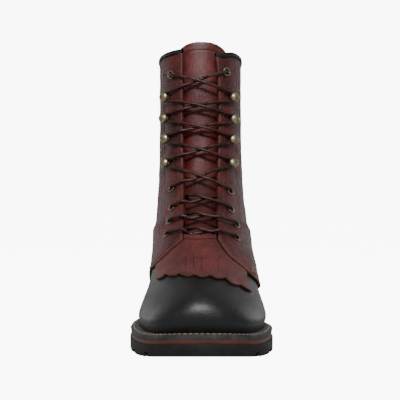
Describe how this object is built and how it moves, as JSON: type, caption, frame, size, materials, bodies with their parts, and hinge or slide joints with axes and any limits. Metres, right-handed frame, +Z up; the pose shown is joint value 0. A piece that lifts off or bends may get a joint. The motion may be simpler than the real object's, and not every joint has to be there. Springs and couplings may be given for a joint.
{
  "type": "lace-up leather work boot",
  "caption": "Lace-up leather work boot, right foot, with a plain round black toe, a fringed kiltie, a welted rubber sole, eyelets, speed hooks and a laced shaft over a tongue.",
  "frame": {"origin": "on the ground, under the middle of the boot", "axes": "+X towards the inner (medial) side of the foot, +Y towards the heel, +Z up"},
  "size_m": [0.1188, 0.3106, 0.2768],
  "materials": {
    "rubber": "matt black moulded rubber",
    "midsole": "dark red-brown edge, waxed",
    "welt": "satin black storm welt",
    "welt_thread": "waxed light grey thread",
    "board": "plain fibre board",
    "cork": "ground cork in binder",
    "steel": "plain steel",
    "footbed": "brushed cloth over foam",
    "black_leather": "oiled black full-grain leather, soft sheen",
    "lining": "grey split-leather lining",
    "chestnut_leather": "chestnut full-grain leather, waxed",
    "tongue_leather": "red-brown full-grain leather",
    "edge_leather": "burnished leather edge",
    "binding": "padded black binding",
    "tack_thread": "tan thread",
    "antique_brass": "antique brass, worn",
    "lace_cord": "waxed round braided lace"
  },
  "bodies": {
    "boot": {"outsole": "rubber", "heel_block": "rubber", "heel_top_lift": "rubber", "midsole": "midsole", "welt": "welt", "welt_thread": "welt_thread", "insole_board": "board", "cork_filler": "cork", "steel_shank": "steel", "heel_nails": "steel", "footbed": "footbed", "vamp": "black_leather", "toe_puff": "board", "vamp_lining": "lining", "heel_lining": "lining", "quarter_left": "chestnut_leather", "quarter_right": "chestnut_leather", "quarter_lining_left": "lining", "quarter_lining_right": "lining", "counter_stiffener": "board", "counter_cover": "black_leather", "backstay": "chestnut_leather", "collar_binding": "binding", "facing_strip_left": "edge_leather", "facing_strip_right": "edge_leather", "kiltie_base": "chestnut_leather", "bar_tacks": "tack_thread", "eyelets_left": "antique_brass", "eyelets_right": "antique_brass", "hooks_left": "antique_brass", "hooks_right": "antique_brass", "lace": "lace_cord", "lace_tail_left": "lace_cord", "lace_tail_right": "lace_cord"},
    "tongue": {"tongue": "tongue_leather"},
    "kiltie_fringe": {"kiltie_fringe": "chestnut_leather"}
  },
  "joints": [
    {"name": "tongue_tilt", "type": "hinge", "parent": "boot", "child": "tongue", "pos_m": [0, -0.052, 0.072], "axis": [-1, 0, 0], "range_deg": [0, 10], "stiffness_Nm_per_rad": 0.05},
    {"name": "fringe_lift", "type": "hinge", "parent": "boot", "child": "kiltie_fringe", "pos_m": [0, -0.0475, 0.0885], "axis": [-1, 0, 0], "range_deg": [0, 22], "stiffness_Nm_per_rad": 0.01}
  ]
}
